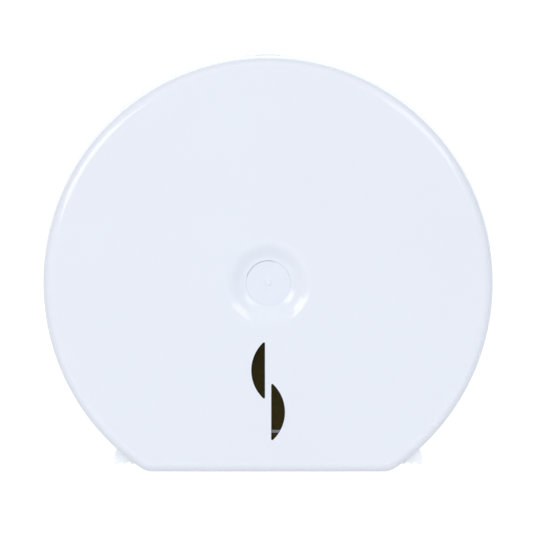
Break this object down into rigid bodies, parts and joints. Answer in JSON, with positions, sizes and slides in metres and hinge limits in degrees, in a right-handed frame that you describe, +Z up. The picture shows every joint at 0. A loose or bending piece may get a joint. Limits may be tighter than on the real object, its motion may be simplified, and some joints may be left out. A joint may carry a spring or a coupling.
{
  "type": "jumbo toilet roll dispenser",
  "caption": "Round wall-mounted dispenser for a jumbo toilet roll, with a hinged lockable cover, smoked level window, turning roll hub and toothed tear bars.",
  "frame": {"origin": "on the wall face of the plate, where the roll's axis meets the wall", "axes": "+Y points into the wall, the cover faces -Y, +X is to the right seen from the front, +Z is up"},
  "size_m": [0.3448, 0.13, 0.3178],
  "materials": {
    "cover_white": "glossy white ABS",
    "bar_white": "glossy white plastic",
    "clamp_white": "plain white plastic",
    "hub_white": "satin white plastic",
    "plate_grey": "satin light grey plastic",
    "adapter_grey": "satin grey plastic",
    "window_smoke": "clear smoked brown sheet",
    "felt": "dull fibre washer",
    "steel": "zinc plated",
    "lock_zinc": "nickel plated zinc",
    "cam_steel": "zinc plated sheet"
  },
  "bodies": {
    "base": {"back_plate": "plate_grey", "lock_catch": "cam_steel", "catch_screws": "steel", "spindle": "plate_grey", "spindle_screws": "steel", "brake_washer": "felt", "hub_cap": "plate_grey", "hub_screw": "steel"},
    "hub": {"core_hub": "hub_white", "core_adapter": "adapter_grey"},
    "cover": {"cover": "cover_white", "window_sheet": "window_smoke", "window_clamp": "clamp_white", "tear_bar_left": "bar_white", "tear_bar_right": "bar_white", "hinge_pin_left": "steel", "hinge_pin_right": "steel", "lock_sleeve": "lock_zinc", "lock_washer": "steel", "lock_nut": "lock_zinc"},
    "lock": {"lock_plug": "lock_zinc", "lock_cam": "cam_steel", "cam_screw": "steel"}
  },
  "joints": [
    {"name": "hub_spin", "type": "hinge", "parent": "base", "child": "hub", "pos_m": [0, -0.05, 0], "axis": [0, 1, 0], "continuous": true},
    {"name": "cover_hinge", "type": "hinge", "parent": "base", "child": "cover", "pos_m": [0, -0.0082, -0.138], "axis": [1, 0, 0], "range_deg": [0, 88]},
    {"name": "lock_turn", "type": "hinge", "parent": "cover", "child": "lock", "pos_m": [0, -0.024, 0.16], "axis": [0, 0, 1], "range_deg": [0, 90]}
  ]
}
